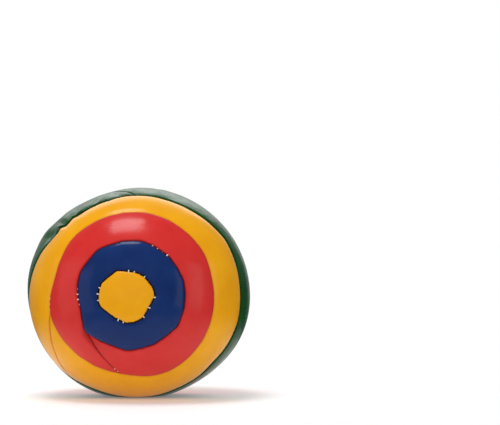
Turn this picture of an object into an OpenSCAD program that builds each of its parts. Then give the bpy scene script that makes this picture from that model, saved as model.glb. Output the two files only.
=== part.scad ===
// Soft juggling ball. Nine panels of glossy coated cloth, a bull's-eye on each side of a green
// band, are sewn together inside out, turned, filled with loose pellets and sewn shut by hand.
// Z is up. The ball rests on the flat at z = 0, and its two bull's-eyes face -Y and +Y.

/* [Ball] */
// Width of the ball over the crowns of its panels
ball_d = 65.5; // [64:0.5:70]
// Height that the ball loses as its filling settles, besides the flat
settle = 1.9; // [1:0.1:2.5]
// Depth of the flat that the ball's own weight presses into its underside
rest_depth = 1.2; // [0.8:0.1:1.4]

/* [Panels] */
// Thickness of the coated cloth
cloth_t = 1; // [0.6:0.1:1.2]
// Radius of each centre disc, measured over the curve
disc_r = 8.3; // [7.5:0.1:9]
// Width of each inner ring, measured over the curve
inner_ring_w = 9.1; // [8:0.1:10]
// Width of each middle ring, measured over the curve
middle_ring_w = 11.1; // [10:0.1:12]
// Width of each outer ring, measured over the curve
outer_ring_w = 13.7; // [12:0.1:15]

/* [Seams] */
// Depth of a seam below the crowns of the panels beside it
seam_dip = 0.4; // [0.3:0.1:0.7]
// Width of the cloth turned in beside a seam
turn_in = 4; // [3.5:0.1:5]
// Gap between the two turned-in edges of a seam
seam_gap = 0.1; // [0.05:0.05:0.2]
// Distance that the joint in a ring leans round the ball between the ring's two seams
joint_lean = 16; // [10:1:20]

/* [Thread] */
// Diameter of the sewing thread
thread_d = 0.5; // [0.4:0.05:0.6]
// Distance between stitches along a seam
stitch_pitch = 1.65; // [1.5:0.05:2.5]
// Distance from the inner face of a panel to the stitches
stitch_margin = 0.35; // [0.2:0.05:0.6]
// Clearance round the thread
thread_clear = 0.1; // [0.05:0.05:0.15]
// Length of the seam that is sewn shut by hand after filling
closing_len = 40; // [30:1:50]

/* [Fill] */
// Clearance between the fill and what surrounds it
fill_gap = 0.3; // [0.2:0.1:0.5]

/* [Hidden] */
$fn = 96;

YELLOW = "#efa91e";
BLUE = "#22376f";
RED = "#cf3034";
GREEN = "#1f6b3f";
THREAD = "#e6dcc8";
PELLETS = "#d9d4c7";

// Panels and seams are numbered from the front pole to the back one. Panel k lies between the
// edges k and k + 1, which are angles from the front pole, and seam s is at edge s + 1.
FRONT_DISC = 0;
FRONT_INNER = 1;
FRONT_MIDDLE = 2;
FRONT_OUTER = 3;
BAND = 4;
BACK_OUTER = 5;
BACK_MIDDLE = 6;
BACK_INNER = 7;
BACK_DISC = 8;

ball_r = ball_d / 2;
height_share = 1 - settle / ball_d;
seam_r = ball_r - seam_dip;
core_r = seam_r - turn_in;
stitch_r = seam_r - cloth_t - stitch_margin - thread_d / 2;
hole_d = thread_d + 2 * thread_clear;
// Distance from a seam to the inner face of its turned-in cloth, and to the thread behind that
flange_in = seam_gap / 2 + cloth_t;
rail_at = flange_in + thread_clear + thread_d / 2;
// Room that the cloth and the thread take beside a seam
seam_room = rail_at + thread_d / 2 + thread_clear;
far = 2 * ball_d;
TUBE_SIDES = 4;
// Angle by which a crown runs on past the seams before it is trimmed at them
SPARE = 3;

half_edges = [
    disc_r,
    disc_r + inner_ring_w,
    disc_r + inner_ring_w + middle_ring_w,
    disc_r + inner_ring_w + middle_ring_w + outer_ring_w
] * 180 / PI / ball_r;
EDGES = concat([0], half_edges, [for (i = [3 : -1 : 0]) 180 - half_edges[i]], [180]);

// Panels that are strips with their two ends joined, each with the angle round the ball at which
// its joint starts. The blue rings and the discs are cut in one piece.
JOINTS = [
    [FRONT_MIDDLE, 219], [FRONT_OUTER, 191], [BAND, 90], [BACK_OUTER, 102], [BACK_MIDDLE, 76]
];
// Angle round the ball at which the seam that is sewn shut by hand starts
closing_start = 100;
CLOSING_SEAM = FRONT_OUTER;

// Directions from the ball's centre: radial, and along the meridian towards the back pole
function out(edge, turn) = [sin(edge) * cos(turn), sin(edge) * sin(turn), cos(edge)];
function along(edge, turn) = [cos(edge) * cos(turn), cos(edge) * sin(turn), -sin(edge)];
function unit(v) = v / norm(v);

// Share of its round radius that the ball keeps in a direction as it settles. The second axis is
// upright until the ball is placed.
function settled_share(dir) = 1 / norm([dir[0], dir[1] / height_share, dir[2]]);
function stitch_at(dir) = stitch_r * settled_share(dir) * dir;

// Middle and half width of a panel, as angles. A disc is centred on its pole.
function middle(k) = k == FRONT_DISC ? 0 : k == BACK_DISC ? 180 : (EDGES[k] + EDGES[k + 1]) / 2;
function half(k) = k == BACK_DISC ? 180 - EDGES[k] : EDGES[k + 1] - middle(k);

// Distance from the ball's centre to the centre of the arc over a panel, which reaches ball_r at
// the middle of the panel and seam_r at its seams
function crown_at(k) = (ball_r ^ 2 - seam_r ^ 2) / (2 * (ball_r - seam_r * cos(half(k))));

function profile_dir(angle) = [sin(angle), cos(angle)];

function stitches(s) = round(2 * PI * stitch_r * sin(EDGES[s + 1]) / stitch_pitch);
function stitch_turn(s, i) = closing_start + 360 * i / stitches(s);
closing_stitches = round(closing_len / stitch_pitch);

// The start and end of a joint, as directions. It leans the same way round its own pole on both
// sides of the ball.
function joint_ends(joint) =
    let (
        k = joint[0],
        sense = k > BAND ? -1 : 1,
        lean = sense * joint_lean / (ball_r * sin(middle(k))) * 180 / PI,
        first = k > BAND ? joint[1] + lean : joint[1],
        last = k > BAND ? joint[1] : joint[1] + lean
    )
    [out(EDGES[k], first), out(EDGES[k + 1], last)];

// The axes of a joint: outwards, across the joint, and along it
function joint_axes(joint) =
    let (
        ends = joint_ends(joint),
        outwards = unit(ends[0] + ends[1]),
        lengthwise = unit(ends[1] - ends[0])
    )
    [outwards, cross(lengthwise, outwards), lengthwise];

function joint_half_angle(joint) =
    let (ends = joint_ends(joint)) acos(ends[0] * ends[1]) / 2;

// The part of a joint that is stitched ends where the turned-in edges of the ring begin
function joint_stitch_half(joint) =
    joint_half_angle(joint) - 2 * seam_room / stitch_r * 180 / PI;
function joint_stitches(joint) =
    1 + round(2 * joint_stitch_half(joint) * PI / 180 * stitch_r / stitch_pitch);
function joint_stitch(joint, i, side) =
    let (
        axes = joint_axes(joint),
        angle = joint_stitch_half(joint) * (2 * i / (joint_stitches(joint) - 1) - 1)
    )
    stitch_at(cos(angle) * axes[0] + sin(angle) * axes[2]) + side * axes[1];

// A thread crosses its seam at each stitch and runs along alternate sides in between
function seam_path(s, from, count) = [
    for (i = [from : from + count - 1])
        for (step = [0, 1])
            let (side = (i + step) % 2 == 0 ? -rail_at : rail_at, turn = stitch_turn(s, i))
            stitch_at(out(EDGES[s + 1], turn)) + side * along(EDGES[s + 1], turn)
];
function joint_path(joint) = [
    for (i = [0 : joint_stitches(joint) - 1])
        for (step = [0, 1])
            joint_stitch(joint, i, (i + step) % 2 == 0 ? -rail_at : rail_at)
];

// Ring i of a tube: square to the path at its ends and mitred at its corners
function tube_ring(path, i, r) =
    let (
        last = len(path) - 1,
        into = unit(path[max(i, 1)] - path[max(i, 1) - 1]),
        onward = unit(path[min(i + 1, last)] - path[min(i, last - 1)]),
        ahead = unit(into + onward),
        up = unit(path[i] - (path[i] * ahead) * ahead),
        sideways = cross(ahead, up) / (ahead * into)
    )
    [
        for (k = [0 : TUBE_SIDES - 1])
            let (angle = 360 * k / TUBE_SIDES)
            path[i] + r * (cos(angle) * up + sin(angle) * sideways)
    ];

module tube(path, d) {
    rings = len(path);
    points = [for (i = [0 : rings - 1]) each tube_ring(path, i, d / 2)];
    sides = [
        for (i = [0 : rings - 2])
            for (k = [0 : TUBE_SIDES - 1])
                let (
                    a = i * TUBE_SIDES + k,
                    b = i * TUBE_SIDES + (k + 1) % TUBE_SIDES
                )
                each [[a, a + TUBE_SIDES, b], [b, a + TUBE_SIDES, b + TUBE_SIDES]]
    ];
    end = (rings - 1) * TUBE_SIDES;
    caps = [
        for (k = [1 : TUBE_SIDES - 2])
            each [[0, k, k + 1], [end, end + k + 1, end + k]]
    ];
    polyhedron(points = points, faces = concat(sides, caps));
}

// Turns the axis of revolution towards the front and sets the ball on its flat
module placed() {
    translate([0, 0, height_share * ball_r - rest_depth]) rotate([90, 0, 0]) children();
}

module above(z) {
    translate([-far / 2, -far / 2, z]) cube(far);
}

// Half section between two angles from the front pole, whose sides meet at a tip
module between(from, to, tip) {
    polygon([tip, tip + far * profile_dir(from), tip + far * profile_dir(to)]);
}

// Half section under the crown of a panel and a little way past its seams, set in from its face
module crown_section(k, inset) {
    intersection() {
        translate(crown_at(k) * profile_dir(middle(k))) circle(r = ball_r - crown_at(k) - inset);
        between(max(0, EDGES[k] - SPARE), min(180, EDGES[k + 1] + SPARE), [0, 0]);
    }
}

// The settled space under a panel, set in from its face and from its seams
module under_panel(k, face_inset, seam_inset) {
    intersection() {
        for (quarter = [0 : 3])
            scale([1, height_share, 1])
                rotate(90 * quarter) rotate_extrude(angle = 90) crown_section(k, face_inset);
        rotate_extrude()
            between(EDGES[k], EDGES[k + 1], seam_inset / sin(half(k)) * profile_dir(middle(k)));
    }
}

// A slab on the plane of a joint, from inside the turned-in cloth outwards
module joint_slab(joint, width) {
    axes = joint_axes(joint);
    reach = ball_r * sin(joint_half_angle(joint)) + seam_room;
    multmatrix([for (i = [0 : 2]) [axes[0][i], axes[1][i], axes[2][i], 0]])
        translate([core_r - fill_gap, -width / 2, -reach])
            cube([far, width, 2 * reach]);
}

// A needle hole through both turned-in edges of a seam
module needle_hole(centre, direction) {
    translate(centre)
        rotate([0, acos(direction[2]), atan2(direction[1], direction[0])])
            cylinder(d = hole_d, h = 2 * rail_at, center = true);
}

module seam_holes(s) {
    for (i = [0 : stitches(s) - 1])
        let (turn = stitch_turn(s, i))
            needle_hole(stitch_at(out(EDGES[s + 1], turn)), along(EDGES[s + 1], turn));
}

module joint_holes(joint) {
    for (i = [0 : joint_stitches(joint) - 1])
        needle_hole(joint_stitch(joint, i, 0), joint_axes(joint)[1]);
}

// The two ends of a strip, turned in beside its joint
module joint_flaps(joint) {
    intersection() {
        difference() {
            under_panel(joint[0], 0, seam_room);
            sphere(r = core_r);
        }
        joint_slab(joint, 2 * flange_in);
    }
}

// A panel: a crowned skin with its edges turned in, flat where the ball rests on it
module panel(k) {
    joint_at = search(k, JOINTS);
    difference() {
        union() {
            difference() {
                intersection() {
                    placed() under_panel(k, 0, seam_gap / 2);
                    above(0);
                }
                intersection() {
                    placed() under_panel(k, cloth_t, flange_in);
                    above(cloth_t);
                }
                placed() sphere(r = core_r);
            }
            for (j = joint_at) placed() joint_flaps(JOINTS[j]);
        }
        placed() {
            for (s = [k - 1, k]) if (s >= 0 && s < BACK_DISC) seam_holes(s);
            for (j = joint_at) {
                joint_slab(JOINTS[j], seam_gap);
                joint_holes(JOINTS[j]);
            }
        }
    }
}

module seam_thread(s) {
    from = s == CLOSING_SEAM ? closing_stitches : 0;
    color(THREAD) placed() tube(seam_path(s, from, stitches(s) - from), thread_d);
}

module joint_thread(k) {
    color(THREAD) placed() tube(joint_path(JOINTS[search(k, JOINTS)[0]]), thread_d);
}

module front_disc() { color(YELLOW) panel(FRONT_DISC); }
module front_inner_ring() { color(BLUE) panel(FRONT_INNER); }
module front_middle_ring() { color(RED) panel(FRONT_MIDDLE); }
module front_outer_ring() { color(YELLOW) panel(FRONT_OUTER); }
module equator_band() { color(GREEN) panel(BAND); }
module back_outer_ring() { color(RED) panel(BACK_OUTER); }
module back_middle_ring() { color(YELLOW) panel(BACK_MIDDLE); }
module back_inner_ring() { color(BLUE) panel(BACK_INNER); }
module back_disc() { color(RED) panel(BACK_DISC); }

module front_disc_thread() { seam_thread(FRONT_DISC); }
module front_inner_thread() { seam_thread(FRONT_INNER); }
module front_middle_thread() { seam_thread(FRONT_MIDDLE); }
module front_outer_thread() { seam_thread(FRONT_OUTER); }
module back_outer_thread() { seam_thread(BAND); }
module back_middle_thread() { seam_thread(BACK_OUTER); }
module back_inner_thread() { seam_thread(BACK_MIDDLE); }
module back_disc_thread() { seam_thread(BACK_INNER); }

// The thread of the seam through which the ball was filled
module closing_thread() {
    color(THREAD) placed() tube(seam_path(CLOSING_SEAM, 0, closing_stitches), thread_d);
}

module front_middle_joint_thread() { joint_thread(FRONT_MIDDLE); }
module front_outer_joint_thread() { joint_thread(FRONT_OUTER); }
module equator_joint_thread() { joint_thread(BAND); }
module back_outer_joint_thread() { joint_thread(BACK_OUTER); }
module back_middle_joint_thread() { joint_thread(BACK_MIDDLE); }

// The loose pellets, as the one body that they pack into
module fill() {
    color(PELLETS) intersection() {
        placed() difference() {
            union() {
                sphere(r = core_r - fill_gap);
                for (k = [FRONT_DISC : BACK_DISC]) under_panel(k, cloth_t + fill_gap, seam_room + fill_gap);
            }
            for (joint = JOINTS) joint_slab(joint, 2 * (seam_room + fill_gap));
        }
        above(cloth_t + fill_gap);
    }
}

front_disc();
front_inner_ring();
front_middle_ring();
front_outer_ring();
equator_band();
back_outer_ring();
back_middle_ring();
back_inner_ring();
back_disc();
front_disc_thread();
front_inner_thread();
front_middle_thread();
front_outer_thread();
back_outer_thread();
back_middle_thread();
back_inner_thread();
back_disc_thread();
closing_thread();
front_middle_joint_thread();
front_outer_joint_thread();
equator_joint_thread();
back_outer_joint_thread();
back_middle_joint_thread();
fill();
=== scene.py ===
"""Dresses a sewn juggling ball: stuffed vinyl panels with rolled seams, stitches, pellets and a studio."""

import math

import bpy
import numpy as np
from mathutils import Matrix, Vector


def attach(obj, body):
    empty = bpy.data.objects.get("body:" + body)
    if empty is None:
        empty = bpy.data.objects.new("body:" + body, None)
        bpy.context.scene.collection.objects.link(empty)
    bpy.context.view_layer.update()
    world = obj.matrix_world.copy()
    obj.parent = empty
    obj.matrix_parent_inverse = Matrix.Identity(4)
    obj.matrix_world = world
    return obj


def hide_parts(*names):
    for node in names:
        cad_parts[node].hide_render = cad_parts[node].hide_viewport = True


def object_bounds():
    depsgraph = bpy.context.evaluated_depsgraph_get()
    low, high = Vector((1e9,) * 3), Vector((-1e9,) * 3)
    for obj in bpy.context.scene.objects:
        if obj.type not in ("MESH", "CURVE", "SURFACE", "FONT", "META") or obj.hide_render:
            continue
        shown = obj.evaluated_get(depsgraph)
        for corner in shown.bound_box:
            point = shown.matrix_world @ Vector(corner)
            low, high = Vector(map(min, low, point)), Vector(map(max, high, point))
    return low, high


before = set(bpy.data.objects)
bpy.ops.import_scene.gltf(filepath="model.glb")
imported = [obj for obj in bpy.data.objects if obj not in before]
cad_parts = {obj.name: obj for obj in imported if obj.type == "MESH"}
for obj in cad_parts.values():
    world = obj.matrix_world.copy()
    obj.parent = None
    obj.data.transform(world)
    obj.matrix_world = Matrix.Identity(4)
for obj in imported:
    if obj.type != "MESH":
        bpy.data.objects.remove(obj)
cad_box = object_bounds()

# Lengths are in millimetres and angles in degrees, until a mesh is made
MM = 0.001
random = np.random.default_rng(11)

# The ball of the frame: its front pole faces -Y, and it rests on z = 0
cad_low, cad_high = (np.array(corner) / MM for corner in cad_box)
BALL_R = (cad_high[0] - cad_low[0]) / 2

# How far the ball sinks as its weight flattens it, how much it spreads sideways, its half sizes and its middle
SINK = 0.7
SPREAD = 1.005
HALF_SIZE = np.array([SPREAD * BALL_R, BALL_R, (cad_high[2] + SINK) / 2])
MIDDLE = np.array([0.0, 0.0, HALF_SIZE[2] - SINK])
# Height within which the flat it rests on rounds off
FLOOR_SOFTNESS = 0.5

# Lumps of the stuffing, and dents, whose height is below 0: turn round the front pole, angle from it,
# height and spread
LUMPS = [
    (342, 88, 0.55, 17),
    (306, 84, -0.5, 16),
    (235, 82, 0.4, 16),
    (165, 80, 0.3, 14),
    (146, 73, -0.9, 5.0),
    (148, 85, 0.45, 5.0),
    (131, 78, 0.25, 3.0),
    (121, 79, -0.45, 3.2),
    (111, 80, 0.2, 3.0),
    (101, 79, -0.4, 3.0),
    (92, 82, 0.2, 3.0),
    (84, 80, -0.4, 3.0),
    (66, 80, -0.45, 4.0),
    (112, 86, -0.7, 16),
    (60, 80, -0.35, 20),
    (20, 60, 0.2, 15),
    (200, 45, 0.25, 14),
    (60, 112, 0.2, 14),
    (10, 125, -0.3, 18),
    (130, 118, 0.25, 15),
    (185, 110, -0.35, 18),
    (300, 130, 0.4, 20),
    (80, 150, -0.2, 16),
]

# The panels, front to back, each with its material slot
PANELS = [
    ("front_disc", "yellow_vinyl"),
    ("front_inner_ring", "blue_vinyl"),
    ("front_middle_ring", "red_vinyl"),
    ("front_outer_ring", "yellow_vinyl"),
    ("equator_band", "green_vinyl"),
    ("back_outer_ring", "red_vinyl"),
    ("back_middle_ring", "yellow_vinyl"),
    ("back_inner_ring", "blue_vinyl"),
    ("back_disc", "red_vinyl"),
]
LAST_PANEL = len(PANELS) - 1

# Corners of each seam, front to back: turn round the nearer pole, as seen from outside, and angle from it
SEAM_CORNERS = [
    [(4, 14.5), (22, 14.1), (53, 14.0), (75, 13.6), (111, 14.9), (139, 14.5), (152, 15.3), (166, 15.3),
     (188, 15.5), (199, 14.9), (215, 13.0), (240, 12.4), (266, 13.3), (285, 13.4), (306, 13.5), (333, 12.3)],
    [(0, 30.6), (15, 31.0), (30, 30.7), (45, 30.9), (62, 30.7), (77, 31.3), (96, 30.5), (122, 30.6),
     (138, 29.0), (152, 29.2), (166, 28.1), (181, 26.7), (197, 26.3), (219, 30.6), (239, 28.0), (268, 29.3),
     (285, 28.6), (299, 29.1), (315, 29.2), (329, 30.8), (345, 30.6)],
    [(0, 48.3), (20, 48.6), (31, 49.8), (45, 50.3), (62, 51.0), (78, 51.3), (93, 50.2), (108, 49.6),
     (124, 48.9), (138, 48.2), (153, 45.2), (167, 43.9), (181, 46.0), (193, 48.3), (211, 46.8), (228, 45.9),
     (245, 45.8), (258, 45.4), (267, 46.1), (283, 49.5), (297, 50.9), (312, 50.3), (330, 49.6), (345, 48.8)],
    [(0, 73.2), (15, 74.0), (31, 76.4), (47, 74.2), (63, 72.6), (80, 71.8), (95, 71.2), (110, 69.2),
     (125, 67.2), (140, 66.4), (154, 69.6), (168, 72.9), (180, 77.4), (192, 81.2), (206, 82.8),
     (219, 81.8), (232, 78.4), (245, 75.4), (256, 77.2), (268, 79.2), (283, 80.2), (299, 78.2),
     (308, 78.0), (317, 73.8), (330, 74.4), (345, 74.6)],
    [(0, 81.5), (13, 79.0), (24, 76.2), (48, 77.4), (62, 76.4), (76, 78.0), (95, 76.5), (122, 73.5),
     (140, 73.2), (159, 74.5), (180, 75.7), (200, 77.8), (225, 79.0), (265, 77.0), (300, 79.5), (325, 81.5)],
    [(2, 53.9), (19, 50.3), (35, 48.2), (53, 47.8), (80, 50.9), (95, 48.3), (115, 46.8), (137, 47.1),
     (160, 47.1), (171, 48.5), (206, 49.4), (225, 49.6), (242, 47.2), (262, 45.6), (280, 46.0), (295, 48.5),
     (310, 52.0), (328, 57.5), (345, 57.0)],
    [(7, 30.7), (24, 30.2), (45, 31.4), (56, 31.3), (72, 29.3), (100, 29.3), (118, 27.2), (140, 26.9),
     (160, 27.6), (185, 30.4), (205, 30.3), (225, 29.7), (240, 30.8), (262, 28.4), (280, 28.4), (298, 29.7),
     (310, 29.3), (330, 30.6), (345, 30.2)],
    [(353, 14.6), (10, 14.0), (25, 14.5), (45, 14.9), (60, 15.0), (78, 14.3), (95, 13.3), (110, 13.0),
     (135, 13.4), (150, 14.0), (165, 15.7), (180, 15.4), (199, 14.4), (212, 14.2), (230, 15.3), (250, 13.8),
     (270, 12.2), (288, 12.1), (309, 13.7), (330, 14.7)],
]
# Rounding of the corners of each seam
SEAM_ROUNDING = [2.2, 2.6, 4.0, 3.0, 5.0, 3.5, 2.6, 2.2]

# Turns, seen from the front, at which the straight joint of a strip meets its first and its second seam,
# and the width and depth of its rolled edges there
JOINTS = {
    "front_middle_ring": ((219.5, 2.6, 1.2), (263, 0.4, 0.2)),
    "front_outer_ring": ((191, 0.6, 0.15), (236, 0.5, 0.25)),
    "equator_band": ((90, 0.6, 0.25), (118, 0.6, 0.25)),
    "back_outer_ring": ((55, 0.5, 0.2), (109, 1.3, 0.5)),
    "back_middle_ring": ((20, 0.6, 0.2), (76, 0.6, 0.2)),
}
# Half the gap in a joint
JOINT_GAP = 0.015
# How many stitches show at the far end of a joint
SHOWN_STITCHES = {"front_middle_ring": 2}

# Stretches of a seam that gape, so that its stitches show: turn seen from the front, and half length
GAPES = [
    [(173, 26), (82, 16), (54, 9), (3, 9), (335, 8), (307, 9), (253, 18)],
    [(180, 19), (62, 7), (48, 9)],
    [(185, 14)],
    [],
    [(112, 16), (150, 10), (200, 12)],
    [(132, 22), (348, 18), (40, 8), (215, 12)],
    [(100, 18), (45, 18), (250, 12)],
    [(100, 36), (20, 26), (320, 30), (205, 30), (262, 16)],
]

# Each seam: width and depth of the rolled edge before it and after it, half its gap,
# and half its gap where it gapes
SEAM_ROLLS = [
    ((0.8, 0.5), (1.0, 0.65), 0.1, 0.2),
    ((1.4, 0.34), (0.7, 0.5), 0.07, 0.11),
    ((0.6, 0.16), (2.4, 0.3), 0.0, 0.03),
    ((3.2, 0.6), (0.7, 0.4), 0.02, 0.07),
    ((0.5, 0.25), (0.6, 0.25), 0.01, 0.05),
    ((1.6, 0.28), (0.6, 0.22), 0.01, 0.06),
    ((0.6, 0.4), (0.6, 0.4), 0.03, 0.08),
    ((0.6, 0.5), (0.55, 0.5), 0.05, 0.14),
]

# Small wrinkles that run across a panel: panel, turn at its middle, lean, share across, half length,
# half width, and height of the lip that the wrinkle raises beside a dent; below 0, they change sides
CREASES = [
    ("back_inner_ring", 8, 4, 0.45, 0.36, 1.1, -1.0),
    ("back_middle_ring", 37, 6, 0.6, 0.25, 1.2, -0.7),
    ("equator_band", 127, -5, 0.6, 0.2, 0.8, 0.14),
    ("equator_band", 76, 6, 0.55, 0.22, 0.9, 0.14),
    ("equator_band", 143, 3, 0.14, 0.22, 1.5, 0.45),
    ("equator_band", 134, 2, 0.12, 0.2, 1.0, 0.28),
    ("equator_band", 124, -2, 0.14, 0.25, 1.2, 0.3),
    ("equator_band", 111, -3, 0.12, 0.2, 1.2, 0.25),
    ("equator_band", 99, 3, 0.12, 0.2, 1.0, 0.22),
]

CLOTH_T = 0.95
FLANGE_DEPTH = 3.4
STITCH_PITCH = 1.65
THREAD_R = 0.2
# How far from a seam its stitches pull at the cloth, the gathers beside it, and how far a panel bulges
STITCH_REACH = 0.5
PUCKER_DEPTH = 0.02
PUCKER_REACH = 2.2
CROWN = 0.2


def lerp(a, b, share):
    return a + (b - a) * share


def unit(vectors):
    return vectors / np.linalg.norm(vectors, axis=-1, keepdims=True)


def periodic(samples, turn):
    """Reads a list of samples, even round a full turn, at any turn."""
    count = len(samples)
    place = np.mod(turn, 360) / 360 * count
    low = np.floor(place).astype(int)
    return lerp(samples[low % count], samples[(low + 1) % count], place - low)


def smoothed(samples, spread):
    """Blurs samples round a full turn by a spread in degrees."""
    turns = np.arange(len(samples)) * 360 / len(samples)
    away = np.minimum(turns, 360 - turns)
    weight = np.exp(-0.5 * (away / spread) ** 2)
    blur = np.fft.fft(weight / weight.sum())
    return np.fft.ifft(np.fft.fft(samples) * blur).real


OUTLINE_SAMPLES = 1440


def outline(corners, rounding):
    """Angle from the pole all round a seam with these corners and nearly straight sides between them."""
    turns = np.radians(np.arange(OUTLINE_SAMPLES) * 360 / OUTLINE_SAMPLES)
    angles = np.zeros(OUTLINE_SAMPLES)
    for (turn_a, angle_a), (turn_b, angle_b) in zip(corners, corners[1:] + corners[:1]):
        a, b = math.radians(turn_a), math.radians(turn_b)
        ahead = np.mod(turns - a, 2 * math.pi)
        span = (b - a) % (2 * math.pi)
        inside = ahead < span
        straight = angle_a * angle_b * math.sin(span) / (
            angle_a * np.sin(ahead[inside]) + angle_b * np.sin(span - ahead[inside])
        )
        angles[inside] = straight
    return smoothed(angles, rounding)


def wander(spread):
    """A small random waver round a full turn, from -1 to 1, blurred by a spread in degrees."""
    samples = smoothed(random.normal(size=OUTLINE_SAMPLES), spread)
    return samples / np.abs(samples).max()


OUTLINES = [outline(corners, r) for corners, r in zip(SEAM_CORNERS, SEAM_ROUNDING)]
SEAM_WAVER = [wander(1.3) for _ in OUTLINES]
SEAM_PUCKER = [wander(1.9) for _ in OUTLINES]
STITCH_PULL = [np.abs(wander(1.0)) for _ in OUTLINES]
WAVER = 0.07
FRONT_SEAMS = 4
# The hand-sewn stretch: its seam, its middle and half its length, how much more the edge wavers there,
# how much wider the edge before it rolls, and the nicks in it, as turn, angle and spread
CLOSING_SEAM = 3
CLOSING = (122, 30)
CLOSING_WAVER = 6.0
CLOSING_ROLL = 0.4
CLOSING_NICKS = [(137.6, 2.6, 1.1), (133.8, -2.2, 1.2), (129.6, 0.9, 1.3), (124, -0.7, 1.6), (105, -0.8, 2.5)]
# The turns between which its own thread runs
CLOSING_LENGTH = 40
CLOSING_START = 100
CLOSING_RADIUS = BALL_R * math.sin(math.radians(OUTLINES[CLOSING_SEAM].mean()))
CLOSING_END = CLOSING_START + math.degrees(CLOSING_LENGTH / CLOSING_RADIUS)
# How steeply a stretch of a seam sets in at its ends
ONSET = 1.4


def nearness(turn, middle, half):
    """1 about the middle of a stretch of a seam, falling to 0 at its ends."""
    away = np.abs(np.mod(np.asarray(turn) - middle + 180, 360) - 180)
    return np.clip(ONSET * (1 - away / half), 0, 1)


def gape(seam, turn):
    """How far a seam gapes at a turn, from 0 to 1."""
    return np.max([0 * turn] + [nearness(turn, *stretch) for stretch in GAPES[seam]], axis=0)


def seam_angle(seam, turn):
    """Angle from the front pole of a seam at a turn seen from the front."""
    waver = periodic(SEAM_WAVER[seam], turn) * math.degrees(WAVER / BALL_R)
    if seam == CLOSING_SEAM:
        waver = waver * (1 + CLOSING_WAVER * nearness(turn, *CLOSING))
        for middle, height, spread in CLOSING_NICKS:
            waver = waver + height * np.exp(-0.5 * ((np.mod(turn, 360) - middle) / spread) ** 2)
    if seam < FRONT_SEAMS:
        return periodic(OUTLINES[seam], turn) + waver
    return 180 - periodic(OUTLINES[seam], 180 - np.asarray(turn)) + waver


def stitch_count(seam):
    """How many stitches go round a seam."""
    angle = np.radians(np.mean(OUTLINES[seam]))
    return int(round(2 * math.pi * BALL_R * math.sin(angle) / STITCH_PITCH))


def zone_angle(panel, turn, across):
    """Angle from the front pole at a share of the way across a panel."""
    low = seam_angle(panel - 1, turn) if panel > 0 else 0.0
    high = seam_angle(panel, turn) if panel < LAST_PANEL else 180.0
    return lerp(low, high, across)


def zone_width(panel, turn):
    """Width of a panel from seam to seam."""
    return np.radians(zone_angle(panel, turn, 1.0) - zone_angle(panel, turn, 0.0)) * BALL_R


def direction(turn, angle):
    """Unit vectors at these turns round the front pole and angles from it."""
    turn, angle = np.radians(turn), np.radians(angle)
    return np.stack(
        [np.sin(angle) * np.cos(turn), -np.cos(angle) * np.ones_like(turn), np.sin(angle) * np.sin(turn)], -1
    )


def sagged(toward):
    """Points of the lumpy, sagging ball in these directions from its middle."""
    reach = 1 / np.linalg.norm(toward / HALF_SIZE, axis=-1)
    for turn, angle, height, spread in LUMPS:
        peak = direction(np.float64(turn), np.float64(angle))
        away = np.degrees(np.arccos(np.clip(toward @ peak, -1, 1)))
        reach = reach + height * np.exp(-0.5 * (away / spread) ** 2)
    return MIDDLE + toward * reach[..., None]


# The stuffed skin, on a grid of turns and of rings that follow the seams

SECTORS = 120
RING_STEPS = [4, 5, 6, 7, 8, 7, 6, 5, 4]
# The trial skin is this many metres per millimetre of the ball
SIM_SCALE = 0.02
SIM_FRAMES = 24
# Pleats narrower than this many degrees are smoothed out, as the filling does when the ball is kneaded
PLEAT_LIMIT = 8


def skin_rings():
    """Each ring of the grid from pole to pole, as (panel, share of the way across it)."""
    rings = [(0, 0.0)]
    for panel, steps in enumerate(RING_STEPS):
        rings += [(panel, (step + 1) / steps) for step in range(steps)]
    return rings


def grid_faces(rows, columns, closed_rows=False, closed_columns=True):
    """Quads of a grid whose points are numbered row by row."""
    last_row = rows if closed_rows else rows - 1
    last_column = columns if closed_columns else columns - 1
    row, column = np.meshgrid(np.arange(last_row), np.arange(last_column), indexing="ij")
    next_row, next_column = (row + 1) % rows, (column + 1) % columns
    corners = [
        row * columns + column,
        next_row * columns + column,
        next_row * columns + next_column,
        row * columns + next_column,
    ]
    return np.stack(corners, -1).reshape(-1, 4).tolist()


def fan(tip, start, columns, first):
    """Triangles from a tip to the first or the last row of a grid."""
    ends = [(start + i, start + (i + 1) % columns) for i in range(columns)]
    return [(tip, a, b) if first else (tip, b, a) for a, b in ends]


def new_object(name, points, faces):
    mesh = bpy.data.meshes.new(name)
    mesh.from_pydata((points * MM).tolist(), [], faces)
    mesh.update()
    piece = bpy.data.objects.new(name, mesh)
    bpy.context.collection.objects.link(piece)
    return piece


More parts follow.
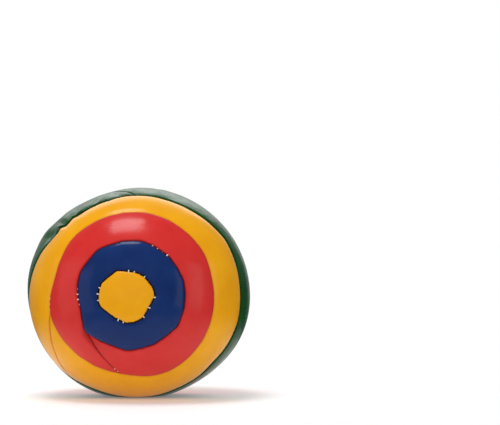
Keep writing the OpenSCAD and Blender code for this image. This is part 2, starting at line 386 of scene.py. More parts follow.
def inflated(points, faces, seam_points):
    """Presses a closed skin out from inside as cloth, with its seams drawn tight."""
    mesh = bpy.data.meshes.new("skin_trial")
    mesh.from_pydata((points * SIM_SCALE).tolist(), [], faces)
    trial = bpy.data.objects.new("skin_trial", mesh)
    bpy.context.collection.objects.link(trial)
    seams = trial.vertex_groups.new(name="seams")
    seams.add(seam_points, 1.0, "REPLACE")
    cloth = trial.modifiers.new("stuffing", "CLOTH")
    cloth.settings.quality = 8
    cloth.settings.mass = 0.4
    cloth.settings.tension_stiffness = 60
    cloth.settings.compression_stiffness = 60
    cloth.settings.shear_stiffness = 20
    cloth.settings.bending_stiffness = 4
    cloth.settings.use_pressure = True
    cloth.settings.uniform_pressure_force = 6
    cloth.settings.vertex_group_shrink = "seams"
    cloth.settings.shrink_min = 0.0
    cloth.settings.shrink_max = 0.05
    cloth.settings.effector_weights.gravity = 0
    cloth.collision_settings.use_collision = False
    scene = bpy.context.scene
    for step in range(1, SIM_FRAMES + 1):
        scene.frame_set(step)
    settled = trial.evaluated_get(bpy.context.evaluated_depsgraph_get())
    result = np.array([v.co for v in settled.data.vertices]) / SIM_SCALE
    scene.frame_set(1)
    bpy.data.objects.remove(trial)
    return result


def stuffed_skin():
    """Points of the stuffed skin: one grid of rings and turns for each panel."""
    rings = skin_rings()
    turns = np.arange(SECTORS) * 360 / SECTORS
    inner = rings[1:-1]
    start = np.concatenate([sagged(direction(turns, zone_angle(k, turns, a))) for k, a in inner])
    poles = sagged(direction(np.zeros(2), np.array([0.0, 180.0])))
    points = np.concatenate([start, poles])
    front, back = len(start), len(start) + 1
    faces = grid_faces(len(inner), SECTORS)
    faces += fan(front, 0, SECTORS, True) + fan(back, (len(inner) - 1) * SECTORS, SECTORS, False)
    seam_points = [
        i * SECTORS + c for i, (k, a) in enumerate(inner) if a == 1.0 for c in range(SECTORS)
    ]
    swollen = inflated(points, faces, seam_points)
    before = np.linalg.norm(points - MIDDLE, axis=1)
    rise = np.linalg.norm(swollen - swollen.mean(0), axis=1) - before
    on_seam = np.zeros(len(points), bool)
    on_seam[seam_points] = True
    between = rise[~on_seam].mean() - rise[on_seam].mean()
    rise = (rise - rise[~on_seam].mean()) * min(1.0, CROWN / between)
    rounds = rise[:-2].reshape(len(inner), SECTORS)
    rise[:-2] = np.concatenate([smoothed(ring, PLEAT_LIMIT) for ring in rounds])
    points = MIDDLE + (points - MIDDLE) * (1 + rise / before)[:, None]
    grid = points[:-2].reshape(len(inner), SECTORS, 3)
    tips = [np.tile(point, (1, SECTORS, 1)) for point in points[-2:]]
    grid = np.concatenate([tips[0], grid, tips[1]])
    ends = np.cumsum([0] + RING_STEPS)
    return [grid[a : b + 1] for a, b in zip(ends, ends[1:])]


def cubic_weights(t):
    """Weights of four even samples for a smooth curve, between the second and the third."""
    return [
        (-t + 2 * t**2 - t**3) / 2,
        (2 - 5 * t**2 + 3 * t**3) / 2,
        (t + 4 * t**2 - 3 * t**3) / 2,
        (-(t**2) + t**3) / 2,
    ]


def padded_grid(panel, grid):
    """A panel's grid with one more ring at each end, mirrored through a pole or run on past a seam."""
    opposite = SECTORS // 2
    first = np.roll(grid[1], opposite, 0) if panel == 0 else 2 * grid[0] - grid[1]
    last = np.roll(grid[-2], opposite, 0) if panel == LAST_PANEL else 2 * grid[-1] - grid[-2]
    return np.concatenate([first[None], grid, last[None]])


SKIN = [padded_grid(k, grid) for k, grid in enumerate(stuffed_skin())]


def settled_on_floor(points):
    """Flattens what would sink into the floor."""
    z = points[..., 2]
    soft = (z + FLOOR_SOFTNESS) ** 2 / (4 * FLOOR_SOFTNESS)
    flat = np.where(z > FLOOR_SOFTNESS, z, np.where(z < -FLOOR_SOFTNESS, 0, soft))
    return np.concatenate([points[..., :2], flat[..., None]], -1)


def skin_point(panel, turn, across):
    """Points of the stuffed skin of a panel, before its edges are rolled in."""
    grid = SKIN[panel]
    ring = np.clip(across, 0, 1) * RING_STEPS[panel]
    low = np.minimum(np.floor(ring).astype(int), RING_STEPS[panel] - 1)
    sector = np.mod(turn, 360) / 360 * SECTORS
    left = np.floor(sector).astype(int)
    ring_weights = cubic_weights(ring - low)
    turn_weights = cubic_weights(sector - left)
    point = 0
    for i, ring_weight in enumerate(ring_weights):
        for j, turn_weight in enumerate(turn_weights):
            corner = grid[low + i, (left + j - 1) % SECTORS]
            point = point + corner * (ring_weight * turn_weight)[..., None]
    return settled_on_floor(point)


# Steps over which the skin's slope is taken, and the shares next to a pole at which it is
TURN_STEP, ACROSS_STEP = 0.4, 0.02
FRONT_POLE_SHARES = (0.02, 0.06)
BACK_POLE_SHARES = (0.94, 0.98)


def skin_frame(panel, turn, across):
    """Points of the skin with their outward directions."""
    near, far = np.maximum(across - ACROSS_STEP, 0), np.minimum(across + ACROSS_STEP, 1)
    if panel == 0:
        near, far = (np.maximum(share, least) for share, least in zip((near, far), FRONT_POLE_SHARES))
    if panel == LAST_PANEL:
        near, far = (np.minimum(share, most) for share, most in zip((near, far), BACK_POLE_SHARES))
    middle = (near + far) / 2
    round_ball = skin_point(panel, turn + TURN_STEP, middle) - skin_point(panel, turn - TURN_STEP, middle)
    along = skin_point(panel, turn, far) - skin_point(panel, turn, near)
    point = skin_point(panel, turn, across)
    outward = unit(np.cross(round_ball, along))
    facing = np.sign((outward * (point - MIDDLE)).sum(-1, keepdims=True))
    return point, outward * facing


# A panel is a closed sheet: its face, its rolled edges, the turned-in cloth and its back

ROLL_ANGLES = np.radians([90, 78, 64, 50, 36, 22, 10])
# Spacing of the points across and along a panel, the shares across it of the rows on its back,
# the one of these beside a pole, and how far the face starts from a rolled edge
FACE_STEP = 0.9
COLUMN_STEP = 0.34
BACK_SHARES = [0.8, 0.5, 0.2]
POLE_BACK_SHARE = 0.03
FACE_MARGIN = 0.2
# How far the turned-in cloth goes straight in behind a rolled edge
FLANGE_START = 0.8
# How much the cloth pulls at each stitch, where a seam is shut and where it gapes
SHUT_PULL, GAPING_PULL = 0.15, 0.35
# How many degrees from a slanted joint the columns of points stand upright again
SLANT_REACH = 100
# Points along a joint, and the least share that its slant leaves of the length of a degree
JOINT_SAMPLES = 60
LEAST_STRAIGHT = 0.35
# A row's points depend on its shares, and they on its points, so they are found in a few rounds
FIT_ROUNDS = 3
ALL_ROUND = np.arange(0, 360, 5.0)
# Distance that counts as far from any seam
FAR = 9


def roll_size(seam, after, turn):
    """Width and depth of the rolled edge before or after a seam, and half the seam's gap."""
    (width, depth), gap, wide_gap = SEAM_ROLLS[seam][1 if after else 0], *SEAM_ROLLS[seam][2:]
    open_by = gape(seam, turn)
    if seam == CLOSING_SEAM and not after:
        wider = 1 + CLOSING_ROLL * nearness(turn, *CLOSING)
        width, depth = width * wider, depth * wider
    stitch = np.cos(np.radians(turn) * stitch_count(seam)) * periodic(STITCH_PULL[seam], turn)
    pull = stitch * lerp(SHUT_PULL, GAPING_PULL, open_by)
    return width + np.minimum(width, STITCH_REACH) * pull, depth * (1 + pull), lerp(gap, wide_gap, open_by)


def pucker(seam, turn, distance):
    """Depth of the small gathers that a seam pulls into the cloth beside it."""
    return PUCKER_DEPTH * (1 + periodic(SEAM_PUCKER[seam], turn)) * np.exp(-distance / PUCKER_REACH)


def crease(panel, turn, share):
    """Depth of the wrinkles in a panel, each a dent beside a raised lip."""
    depth = np.zeros_like(turn)
    for name, middle, lean, place, half_length, half_width, height in CREASES:
        if name == PANELS[panel][0]:
            along = (share - place) / half_length
            off = np.mod(turn - middle - lean * along + 180, 360) - 180
            radius = BALL_R * np.sin(np.radians(zone_angle(panel, turn, share)))
            across = np.radians(off) * radius / half_width
            depth = depth + height * across * np.exp(-0.5 * (across**2 + 2 * along**2))
    return depth


def edge_rows(panel, high, turn):
    """Shares across and depths of the rows up a rolled edge, and of those behind it."""
    seam = panel if high else panel - 1
    width = zone_width(panel, turn)
    roll_w, roll_d, gap = roll_size(seam, not high, turn)
    front = [(gap, FLANGE_DEPTH), (gap, roll_d + FLANGE_START)]
    front += [(gap + roll_w * (1 - math.sin(a)), roll_d * (1 - math.cos(a))) for a in ROLL_ANGLES]
    behind = [(gap + CLOTH_T, FLANGE_DEPTH), (gap + CLOTH_T, 2 * CLOTH_T), (gap + 1.35 * CLOTH_T, CLOTH_T)]

    def placed(rows):
        return [(1 - s / width if high else s / width, depth + 0 * s) for s, depth in rows]

    return placed(front), placed(behind)


def joint_line(panel, share):
    """Turn of a strip's joint at a share across it, and the millimetres from it that one degree takes."""
    first, last = (end[0] for end in JOINTS[PANELS[panel][0]])
    end_angles = np.array([seam_angle(panel - 1, first), seam_angle(panel, last)])
    ends = direction(np.array([first, last]), end_angles)
    line = unit(lerp(ends[0], ends[1], np.linspace(0, 1, JOINT_SAMPLES)[:, None]))
    turns = np.degrees(np.unwrap(np.arctan2(line[:, 2], line[:, 0]))) % 360
    angles = np.degrees(np.arccos(-line[:, 1]))
    low, high = zone_angle(panel, turns, 0.0), zone_angle(panel, turns, 1.0)
    shares = (angles - low) / (high - low)
    round_ball = np.gradient(turns) * np.sin(np.radians(angles))
    straight = np.abs(np.gradient(angles)) / np.hypot(round_ball, np.gradient(angles))
    degree = math.radians(BALL_R) * np.sin(np.radians(angles)) * np.maximum(straight, LEAST_STRAIGHT)
    return np.interp(share, shares, turns), np.interp(share, shares, degree)


def joint_fade(share):
    """How far the rolled edges of a joint have changed to those at its second seam, at a share across."""
    return 1 - (1 - share) ** 3


def row_columns(panel, share, inner):
    """Turns of the points of a row, and how far each is from the panel's joint."""
    rims = [BALL_R * np.sin(np.radians(zone_angle(panel, ALL_ROUND, a).mean())) for a in (0, 0.5, 1)]
    count = int(2 * math.pi * max(rims) / COLUMN_STEP)
    if PANELS[panel][0] not in JOINTS:
        return np.arange(count) * 360 / count, np.full(count, np.inf)
    start, degree = joint_line(panel, share)
    first, last = JOINTS[PANELS[panel][0]]
    width = lerp(first[1], last[1], joint_fade(share))
    edge = JOINT_GAP + width * (1 - np.sin(ROLL_ANGLES))
    if inner:
        edge = lerp(CLOTH_T, CLOTH_T + width, np.linspace(0, 1, len(edge)))
    edge = np.concatenate([edge[:1], edge])
    middle = np.linspace(edge[-1] / degree, 360 - edge[-1] / degree, count)[1:-1]
    columns = np.concatenate([edge / degree, middle, 360 - edge[::-1] / degree])
    from_joint = np.concatenate([edge, np.minimum(middle, 360 - middle) * degree, edge[::-1]])
    away = np.clip(np.minimum(columns, 360 - columns) / SLANT_REACH, 0, 1)
    upright = (first[0] + last[0]) / 2
    return lerp(start, upright, away**2 * (3 - 2 * away)) + columns, from_joint


def edge_section(panel, high):
    """Rows up the rolled edge before or after a seam, and the rows behind it."""
    sections = []
    for part, inner in enumerate((False, True)):
        rows = edge_rows(panel, high, row_columns(panel, 1.0 if high else 0.0, inner)[0])[part]
        placed = []
        for index, (share, _) in enumerate(rows):
            for _ in range(FIT_ROUNDS):
                turn, from_joint = row_columns(panel, share[0], inner)
                share, depth = edge_rows(panel, high, turn)[part][index]
            placed.append((turn, from_joint, share, depth, not inner))
        sections.append(placed)
    return sections


def section_rows(panel):
    """Rows round a panel's section.

    Each is (turns, distances from the joint, shares across, depths, whether it is on the face).
    """
    steps = np.linspace(0, 1, 1 + max(4, round(zone_width(panel, ALL_ROUND).mean() / FACE_STEP)))
    back_steps = BACK_SHARES
    up, outside, down, inside = [], [], [], []
    if panel > 0:
        up, outside = edge_section(panel, False)
    else:
        steps, back_steps = steps[1:], BACK_SHARES + [POLE_BACK_SHARE]
    if panel < LAST_PANEL:
        down, inside = edge_section(panel, True)
    else:
        steps, back_steps = steps[:-1], [1 - POLE_BACK_SHARE] + BACK_SHARES

    def row(step, inner):
        share = [step]
        for _ in range(FIT_ROUNDS):
            turn, from_joint = row_columns(panel, share[0], inner)
            margin = FACE_MARGIN / zone_width(panel, turn)
            low = edge_rows(panel, False, turn)[0][-1][0] + margin if panel > 0 else 0.0
            high = edge_rows(panel, True, turn)[0][-1][0] - margin if panel < LAST_PANEL else 1.0
            share = lerp(low, high, step) + 0 * turn
        return turn, from_joint, share, 0 * turn + (CLOTH_T if inner else 0), not inner

    face = [row(step, False) for step in steps]
    back = [row(step, True) for step in back_steps]
    if panel == LAST_PANEL:
        return back + outside[::-1] + up + face
    return up + face + down[::-1] + inside + back + outside[::-1]


def strip_end(outer, inner):
    """Triangles that close the end of a strip, between its outer and its inner rows of points."""
    faces = []
    for i in range(len(outer) - 1):
        low, high = (step * (len(inner) - 1) // (len(outer) - 1) for step in (i, i + 1))
        faces.append([outer[i], outer[i + 1], inner[low]])
        if high > low:
            faces.append([outer[i + 1], inner[high], inner[low]])
    return faces


def panel_piece(panel):
    """One panel of vinyl with its turned-in edges, as a closed mesh."""
    name, slot = PANELS[panel]
    strip = name in JOINTS
    points, seam_distance, shown = [], [], []
    for turn, from_joint, share, depth, on_face in section_rows(panel):
        shown.append(on_face)
        point, outward = skin_frame(panel, turn, share)
        distance = np.zeros_like(turn)
        if on_face:
            width = zone_width(panel, turn)
            to_low = share * width if panel > 0 else np.full_like(width, np.inf)
            to_high = (1 - share) * width if panel < LAST_PANEL else np.full_like(width, np.inf)
            distance = np.minimum(to_low, to_high)
            if strip:
                _, roll_w, roll_d = (lerp(a, b, joint_fade(share)) for a, b in zip(*JOINTS[name]))
                distance = np.minimum(distance, from_joint * np.minimum(1, STITCH_REACH / roll_w))
                at_joint = np.clip(1 - (from_joint - JOINT_GAP) / roll_w, 0, 1)
                depth = np.maximum(depth, roll_d * (1 - np.sqrt(1 - at_joint**2)))
            depth = depth + crease(panel, turn, share)
            if panel > 0:
                depth = depth + pucker(panel - 1, turn, to_low)
            if panel < LAST_PANEL:
                depth = depth + pucker(panel, turn, to_high)
        if strip:
            depth[[0, -1]] += FLANGE_DEPTH - CLOTH_T
        points.append(point - outward * depth[:, None])
        seam_distance.append(distance)
    count, rows = len(points[0]), len(points)
    points = np.concatenate(points)
    seam_distance = np.concatenate(seam_distance)
    faces = grid_faces(rows, count, closed_rows=0 < panel < LAST_PANEL, closed_columns=not strip)
    if strip:
        outer = [row * count for row, on_face in enumerate(shown) if on_face]
        inner = [row * count for row, on_face in enumerate(shown) if not on_face][::-1]
        faces += strip_end(outer, inner)
        faces += [[corner + count - 1 for corner in face][::-1] for face in strip_end(outer, inner)]
    if not 0 < panel < LAST_PANEL:
        tip, outward = skin_frame(panel, np.zeros(1), np.array([0.0 if panel == 0 else 1.0]))
        tips = [tip, tip - outward * CLOTH_T]
        faces += fan(len(points), 0, count, True) + fan(len(points) + 1, (rows - 1) * count, count, False)
        points = np.concatenate([points] + (tips if panel == 0 else tips[::-1]))
        seam_distance = np.concatenate([seam_distance, [FAR, 0] if panel == 0 else [0, FAR]])
    piece = new_object(name + "_vinyl", points, faces)
    attribute = piece.data.attributes.new("seam", "FLOAT", "POINT")
    attribute.data.foreach_set("value", np.minimum(seam_distance, FAR).astype(np.float32))
    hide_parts(name)
    return piece


# Sewing thread: one rung over the seam for each stitch, with the run between two stitches inside

THREAD_SIDES = 8
# How deep the stitches lie in each seam where it gapes, in any seam where it is shut,
# at the far end of a joint, and where a joint shows them
SHOWN_DEPTHS = [0.2, 0.33, 0.28, 0.3, 0.26, 0.28, 0.26, 0.2]
HIDDEN_DEPTH = 1.3
JOINT_END_DEPTH = 0.06
JOINT_SHOWN_DEPTH = 0.19
STITCH_JITTER = 0.03
# Share of a panel's width from a seam at which the direction across the seam is taken, and along a joint
BESIDE = 0.05
AHEAD = 0.02
# Mean distance of the joints from the ball's axis, as a share of the ball's radius
JOINT_AXIS_SHARE = 0.7
# Across the seam and below the stitch, for the points of one rung
RUNG = [(-0.7, 1.2), (-0.52, 0.3), (-0.26, 0.02), (0.26, 0.02), (0.52, 0.3), (0.7, 1.2)]


def tube(path, radius, closed):
    """Points and faces of a round tube along a path."""
    ahead = np.roll(path, -1, 0) - np.roll(path, 1, 0)
    if not closed:
        ahead[0], ahead[-1] = path[1] - path[0], path[-1] - path[-2]
    ahead = unit(ahead)
    side = unit(np.cross(ahead[0], [0.3, 0.5, 0.8]))
    sides = []
    for tangent in ahead:
        side = side - tangent * (side @ tangent)
        side = side / np.linalg.norm(side)
        sides.append(side)
    sides = np.array(sides)
    up = np.cross(ahead, sides)
    angles = np.arange(THREAD_SIDES) * 2 * math.pi / THREAD_SIDES
    ring = [path + radius * (math.cos(a) * sides + math.sin(a) * up) for a in angles]
    points = np.stack(ring, 1).reshape(-1, 3)
    count = len(path)
    faces = grid_faces(count, THREAD_SIDES, closed_rows=closed)
    if not closed:
        first, last = (range(row * THREAD_SIDES, (row + 1) * THREAD_SIDES) for row in (0, count - 1))
        faces += [list(first), list(last)[::-1]]
    return points, faces


def thread_piece(node, middle, outward, across, depth, closed):
    """A thread whose rungs lie at these middles, across these directions and this deep."""
    rungs = [middle + across * side - outward * (depth + below)[:, None] for side, below in RUNG]
    path = np.stack(rungs, 1).reshape(-1, 3)
    points, faces = tube(path, THREAD_R, closed)
    piece = new_object(node + "_sewing", points, faces)
    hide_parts(node)
    return piece


def seam_thread(node, seam, first, last):
    """The thread of a ring seam between two turns."""
    step = 360 / stitch_count(seam)
    turns = np.arange(math.ceil(first / step), math.ceil(last / step)) * step
    middle, outward = skin_frame(seam, turns, np.ones_like(turns))
    before = skin_point(seam, turns, np.full_like(turns, 1 - BESIDE))
    after = skin_point(seam + 1, turns, np.full_like(turns, BESIDE))
    across = unit(after - before)
    depth = lerp(HIDDEN_DEPTH, SHOWN_DEPTHS[seam], gape(seam, turns))
    depth = depth + random.normal(0, STITCH_JITTER, len(turns))
    return thread_piece(node, middle, outward, across, depth, closed=last - first == 360)


def joint_thread(node, panel):
    """The thread of a strip's slanted joint."""
    first, last = (end[0] for end in JOINTS[PANELS[panel][0]])
    width = zone_width(panel, ALL_ROUND).mean()
    length = math.hypot(width, math.radians(last - first) * BALL_R * JOINT_AXIS_SHARE)
    shares = np.linspace(0, 1, int(length / STITCH_PITCH))[1:-1]
    middle, outward = skin_frame(panel, joint_line(panel, shares)[0], shares)
    ahead = skin_point(panel, joint_line(panel, shares + AHEAD)[0], shares + AHEAD)
    across = np.cross(outward, unit(ahead - middle))
    depth = lerp(HIDDEN_DEPTH, JOINT_END_DEPTH, shares**4) + random.normal(0, STITCH_JITTER, len(shares))
    shown = SHOWN_STITCHES.get(PANELS[panel][0], 0)
    depth[len(depth) - shown :] = JOINT_SHOWN_DEPTH
    return thread_piece(node, middle, outward, across, depth, closed=False)


# The pellets inside, as the lumpy body that they make together

PELLET = 1.5
# Spacing of the rings of points, depth of the body below the skin and of its bumps, and how much deeper
# and how far from a seam it makes way for the turned-in cloth
FILL_STEP = 1.2
FILL_DEPTH = 1.35
FILL_BUMP = 0.25
FILL_DIP, FILL_DIP_REACH = 2.5, 2.2


def fill_piece():
    """The body of pellets that fills the skin."""
    turns = np.arange(0, 360, 2.5)
    rings = []
    for panel in range(len(PANELS)):
        width = zone_width(panel, ALL_ROUND).mean()
        shares = np.linspace(0, 1, round(width / FILL_STEP))
        shares = shares[1:] if panel < LAST_PANEL else shares[1:-1]
        for share in shares:
            share = np.full_like(turns, share)
            point, outward = skin_frame(panel, turns, share)
            to_low = share * width if panel > 0 else FAR
            to_high = (1 - share) * width if panel < LAST_PANEL else FAR
            near = np.exp(-((np.minimum(to_low, to_high) / FILL_DIP_REACH) ** 4))
            bump = FILL_BUMP * random.random(len(turns))
            rings.append(point - outward * (FILL_DEPTH + bump + FILL_DIP * near)[:, None])
    poles = sagged(direction(np.zeros(2), np.array([0.0, 180.0])))
    poles = poles + unit(MIDDLE - poles) * PELLET
    count = len(turns)
    points = np.concatenate(rings + [poles])
    faces = grid_faces(len(rings), count)
    faces += fan(len(points) - 2, 0, count, True)
    faces += fan(len(points) - 1, (len(rings) - 1) * count, count, False)
    piece = new_object("fill_pellets", points, faces)
    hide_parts("fill")
    return piece


# Materials


def linear(r, g, b):
    """An 8-bit sRGB colour as linear light."""
    levels = (r / 255, g / 255, b / 255)
    return [c / 12.92 if c <= 0.04045 else ((c + 0.055) / 1.055) ** 2.4 for c in levels] + [1]


def add(owner, kind):
    """A new shader node of a kind, in a material or a world."""
    return owner.node_tree.nodes.new("ShaderNode" + kind)


def link(owner, source, socket):
    owner.node_tree.links.new(source, socket)


def new_material(name):
    """A new material and its main shader."""
    material = bpy.data.materials.new(name)
    material.use_nodes = True
    material.node_tree.nodes.clear()
    output = add(material, "OutputMaterial")
    shader = add(material, "BsdfPrincipled")
    link(material, shader.outputs[0], output.inputs[0])
    return material, shader


def noise(material, size, detail=2.0, roughness=0.5):
    """Noise with features of a size in millimetres, in the ball's own coordinates."""
    place = add(material, "TexCoord")
    texture = add(material, "TexNoise")
    texture.inputs["Scale"].default_value = 1 / (size * MM)
    texture.inputs["Detail"].default_value = detail
    texture.inputs["Roughness"].default_value = roughness
    link(material, place.outputs["Object"], texture.inputs["Vector"])
    return texture.outputs["Fac"]


def ramp(material, value, stops):
    """A colour that follows a value through these stops."""
    node = add(material, "ValToRGB")
    elements = node.color_ramp.elements
    while len(elements) < len(stops):
        elements.new(0.5)
    for element, (place, colour) in zip(elements, stops):
        element.position = place
        element.color = colour
    link(material, value, node.inputs[0])
    return node.outputs[0]


def mapped(material, value, low, high, new_low, new_high):
    """A value moved from one range to another."""
    node = add(material, "MapRange")
    for socket, number in zip(node.inputs[1:5], (low, high, new_low, new_high)):
        socket.default_value = number
    link(material, value, node.inputs[0])
    return node.outputs[0]


def multiplied(material, a, b):
    """One colour times another."""
    node = add(material, "Mix")
    node.data_type = "RGBA"
    node.blend_type = "MULTIPLY"
    node.inputs[0].default_value = 1.0
    link(material, a, node.inputs[6])
    link(material, b, node.inputs[7])
    return node.outputs[2]


def greater(material, a, b):
    """The greater of two values."""
    node = add(material, "Math")
    node.operation = "MAXIMUM"
    link(material, a, node.inputs[0])
    link(material, b, node.inputs[1])
    return node.outputs[0]


def bumped(material, heights):
    """A normal with bumps added one on another, each as (height, depth in millimetres)."""
    normal = None
    for height, depth in heights:
        node = add(material, "Bump")
        node.inputs["Strength"].default_value = 1.0
        node.inputs["Distance"].default_value = depth * MM
        link(material, height, node.inputs["Height"])
        if normal:
            link(material, normal, node.inputs["Normal"])
        normal = node.outputs[0]
    return normal


def vinyl(name, pale, deep, painted_seam_shade, roughness, specular, crinkle):
    """Glossy coated cloth, mottled between two colours, with painted shade darkening it next to its seams.

    It is rougher in its seams. The colour given for the seams is painted shade, not a colour of the cloth.
    specular is its specular level, and crinkle the depth of its crinkles.
    """
    material, shader = new_material(name)
    distance = add(material, "Attribute")
    distance.attribute_name = "seam"
    mottle = ramp(material, noise(material, 7.0, 4.0, 0.55), [(0.3, linear(*deep)), (0.7, linear(*pale))])
    # Painted shade: within 0.8 mm of a seam the colour is multiplied down toward the seam colour, standing in
    # for the groove's shade
    near_seam = mapped(material, distance.outputs["Fac"], 0.0, 0.8, 0.0, 1.0)
    seam_shade_stops = [(0.0, linear(*painted_seam_shade)), (0.45, [0.93] * 3 + [1]), (1.0, [1, 1, 1, 1])]
    edge = ramp(material, near_seam, seam_shade_stops)
    link(material, multiplied(material, mottle, edge), shader.inputs["Base Color"])
    sheen = mapped(material, noise(material, 3.0, 3.0), 0.3, 0.7, roughness - 0.03, roughness + 0.04)
    in_fold = mapped(material, distance.outputs["Fac"], 0.0, 0.3, 0.7, 0.0)
    link(material, greater(material, sheen, in_fold), shader.inputs["Roughness"])
    grain = [(2.8, 1.0, crinkle), (0.8, 2.0, 0.003), (0.28, 2.0, 0.002)]
    heights = [(noise(material, size, detail), depth) for size, detail, depth in grain]
    link(material, bumped(material, heights), shader.inputs["Normal"])
    shader.inputs["Specular IOR Level"].default_value = specular
    return material


def thread_material():
    material, shader = new_material("sewing_thread")
    shades = [(0.3, linear(196, 184, 160)), (0.7, linear(236, 229, 212))]
    shade = ramp(material, noise(material, 0.5, 3.0), shades)
    link(material, shade, shader.inputs["Base Color"])
    link(material, bumped(material, [(noise(material, 0.12, 2.0), 0.02)]), shader.inputs["Normal"])
    link(material, mapped(material, noise(material, 0.3), 0.3, 0.7, 0.6, 0.8), shader.inputs["Roughness"])
    shader.inputs["Sheen Weight"].default_value = 0.3
    return material


def pellet_material():
    material, shader = new_material("pellets")
    shades = [(0.35, linear(150, 148, 142)), (0.65, linear(205, 203, 196))]
    shade = ramp(material, noise(material, PELLET, 2.0), shades)
    link(material, shade, shader.inputs["Base Color"])
    link(material, bumped(material, [(noise(material, PELLET, 1.0), 0.4)]), shader.inputs["Normal"])
    link(material, mapped(material, noise(material, PELLET), 0.3, 0.7, 0.45, 0.6), shader.inputs["Roughness"])
    return material


# The third colour of each vinyl is painted shade for the cloth next to its seams
MATERIALS = {
    "yellow_vinyl": vinyl("yellow_vinyl", (236, 166, 20), (229, 157, 16), (225, 170, 115), 0.19, 0.2, 0.008),
    "blue_vinyl": vinyl("blue_vinyl", (24, 49, 104), (19, 42, 94), (60, 50, 75), 0.17, 0.18, 0.01),
    "red_vinyl": vinyl("red_vinyl", (210, 50, 46), (202, 43, 41), (210, 120, 110), 0.21, 0.25, 0.01),
    "green_vinyl": vinyl("green_vinyl", (20, 80, 38), (15, 69, 31), (180, 190, 175), 0.2, 0.2, 0.14),
    "thread": thread_material(),
    "pellets": pellet_material(),
}


def dressed(piece, slot):
    """Gives a piece its material and ties it to the ball."""
    piece.data.materials.append(MATERIALS[slot])
    for polygon in piece.data.polygons:
        polygon.use_smooth = True
    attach(piece, "root")


SEAM_THREADS = [
    "front_disc_thread",
    "front_inner_thread",
    "front_middle_thread",
    "front_outer_thread",
    "back_outer_thread",
    "back_middle_thread",
    "back_inner_thread",
    "back_disc_thread",
]

for index, (_, panel_slot) in enumerate(PANELS):
    dressed(panel_piece(index), panel_slot)
for index, node_name in enumerate(SEAM_THREADS):
    if index == CLOSING_SEAM:
        dressed(seam_thread(node_name, index, CLOSING_END, CLOSING_START + 360), "thread")
        dressed(seam_thread("closing_thread", index, CLOSING_START, CLOSING_END), "thread")
    else:
        dressed(seam_thread(node_name, index, 0, 360), "thread")
for node_name, index in [
    ("front_middle_joint_thread", 2),
    ("front_outer_joint_thread", 3),
    ("equator_joint_thread", 4),
    ("back_outer_joint_thread", 5),
    ("back_middle_joint_thread", 6),
]:
    dressed(joint_thread(node_name, index), "thread")
dressed(fill_piece(), "pellets")

# Camera: the ball's place in the photograph's frame, in pixels, and the angles it is seen from

FRAME_SIZE = (500, 425)
BALL_PIXEL = (138.5, 293.0)
BALL_PIXELS_WIDE = 220
AZIMUTH, ELEVATION = math.radians(5.9), math.radians(2.3)
LENS, SENSOR = 180, 36


def place_camera():
    """Puts the camera level, at these angles from the ball, and turns it until the ball has its place."""
    focal = LENS / SENSOR * FRAME_SIZE[0]
    distance = focal * 2 * HALF_SIZE[0] / BALL_PIXELS_WIDE
    toward = np.array(
        [
            math.sin(AZIMUTH) * math.cos(ELEVATION),
            -math.cos(AZIMUTH) * math.cos(ELEVATION),
            math.sin(ELEVATION),
        ]
    )
    sight = -toward
    seen = unit(np.array([BALL_PIXEL[0] - FRAME_SIZE[0] / 2, FRAME_SIZE[1] / 2 - BALL_PIXEL[1], -focal]))
    heading = math.atan2(sight[1], sight[0]) - math.acos(seen[0] / math.hypot(sight[0], sight[1]))
    right = np.array([math.cos(heading), math.sin(heading), 0])
    level = np.array([-math.sin(heading), math.cos(heading), 0])
    rest = sight - seen[0] * right
    pitch = math.atan2(rest[2], rest @ level) - math.asin(seen[1] / np.linalg.norm(rest))
    forward = math.cos(pitch) * level + math.sin(pitch) * np.array([0, 0, 1])
    up = np.cross(right, forward)
    turned = Matrix([right, up, -forward]).transposed().to_4x4()
    lens = bpy.data.cameras.new("camera")
    lens.lens, lens.sensor_width = LENS, SENSOR
    lens.clip_start, lens.clip_end = 0.01, 50
    camera = bpy.data.objects.new("camera", lens)
    camera.matrix_world = Matrix.Translation(Vector((MIDDLE + toward * distance) * MM)) @ turned
    bpy.context.collection.objects.link(camera)
    bpy.context.scene.camera = camera


place_camera()

# Studio: a white floor and surroundings, soft boxes overhead, behind, left and right,
# and two broad fills that gloss doesn't show

# Strength of the surroundings on what isn't glossy
AMBIENT = 0.5


def soft_box(name, toward, distance, size, watts, in_gloss=True):
    """An area light in a direction from the ball's middle, with its distance and sides in metres."""
    lamp = bpy.data.lights.new(name, "AREA")
    lamp.shape = "RECTANGLE"
    lamp.size, lamp.size_y = size
    lamp.energy = watts
    light = bpy.data.objects.new(name, lamp)
    place = Vector(toward).normalized()
    light.location = Vector(MIDDLE * MM) + place * distance
    level = (Vector((1, 0, 0)) - place * place.x).normalized()
    light.rotation_euler = Matrix([level, place.cross(level), place]).transposed().to_euler()
    light.visible_glossy = in_gloss
    light.visible_camera = False
    bpy.context.collection.objects.link(light)


soft_box("overhead", (-0.135, -0.128, 0.982), 0.6, (0.24, 0.28), 1.7)
soft_box("rear", (-0.1, 0.8, 0.62), 0.9, (0.9, 0.45), 1.4)
soft_box("side", (-0.9, -0.4, 0.1), 1.0, (0.8, 0.9), 1.5)
soft_box("right", (0.85, -0.4, 0.12), 1.0, (0.45, 0.8), 1.3)
soft_box("fill", (-0.05, -0.9, 0.25), 1.0, (1.2, 1.0), 3.4, in_gloss=False)
soft_box("back_fill", (-0.1, 0.9, 0.3), 1.0, (1.2, 1.0), 1.6, in_gloss=False)


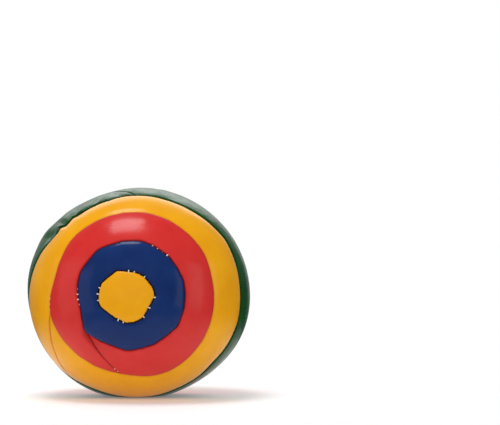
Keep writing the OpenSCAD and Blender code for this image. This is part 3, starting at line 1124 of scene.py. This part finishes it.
def floor_piece():
    """A round floor that keeps the ball's shadow and fades into the white surroundings."""
    near, far, sides = 35, 110, 96
    turns = np.arange(sides) * 2 * math.pi / sides
    points = np.stack([far * np.cos(turns), far * np.sin(turns), 0 * turns], -1)
    floor = new_object("floor", points, [list(range(sides))])
    material, shader = new_material("floor")
    shader.inputs["Base Color"].default_value = [0.88, 0.88, 0.88, 1]
    shader.inputs["Roughness"].default_value = 0.9
    shader.inputs["Specular IOR Level"].default_value = 0.1
    shader.inputs["Emission Color"].default_value = [1, 1, 1, 1]
    shader.inputs["Emission Strength"].default_value = 0.15
    place = add(material, "TexCoord")
    length = add(material, "VectorMath")
    length.operation = "LENGTH"
    link(material, place.outputs["Object"], length.inputs[0])
    clear = add(material, "BsdfTransparent")
    fade = add(material, "MixShader")
    link(material, mapped(material, length.outputs["Value"], near * MM, far * MM, 0.0, 1.0), fade.inputs[0])
    link(material, shader.outputs[0], fade.inputs[1])
    link(material, clear.outputs[0], fade.inputs[2])
    output = next(node for node in material.node_tree.nodes if node.type == "OUTPUT_MATERIAL")
    link(material, fade.outputs[0], output.inputs[0])
    floor.data.materials.append(material)


floor_piece()


def surroundings():
    """White as the camera sees it; in gloss, white behind the ball and dim before, below and beside it."""
    world = bpy.data.worlds.new("studio")
    bpy.context.scene.world = world
    world.use_nodes = True
    place = add(world, "TexCoord")
    split = add(world, "SeparateXYZ")
    link(world, place.outputs["Generated"], split.inputs[0])
    seen = None
    for axis, low, high, at_low, at_high in [
        ("Y", 0.05, 0.95, 0.08, 1.0),
        ("X", -0.45, -0.05, 0.6, 1.0),
        ("X", 0.1, 0.6, 1.0, 0.15),
        ("Z", -0.25, 0.35, 0.12, 1.0),
    ]:
        slope = add(world, "MapRange")
        slope.interpolation_type = "SMOOTHSTEP"
        for socket, number in zip(slope.inputs[1:5], (low, high, at_low, at_high)):
            socket.default_value = number
        link(world, split.outputs[axis], slope.inputs[0])
        if seen is None:
            seen = slope.outputs[0]
            continue
        both = add(world, "Math")
        both.operation = "MULTIPLY"
        link(world, slope.outputs[0], both.inputs[0])
        link(world, seen, both.inputs[1])
        seen = both.outputs[0]
    rays = add(world, "LightPath")
    for ray, strength in (("Is Camera Ray", 1.0), ("Is Diffuse Ray", AMBIENT)):
        switch = add(world, "Mix")
        link(world, rays.outputs[ray], switch.inputs[0])
        link(world, seen, switch.inputs[2])
        switch.inputs[3].default_value = strength
        seen = switch.outputs[0]
    background = world.node_tree.nodes["Background"]
    background.inputs["Color"].default_value = [1, 1, 1, 1]
    link(world, seen, background.inputs["Strength"])


surroundings()
bpy.context.scene.view_settings.view_transform = "Standard"
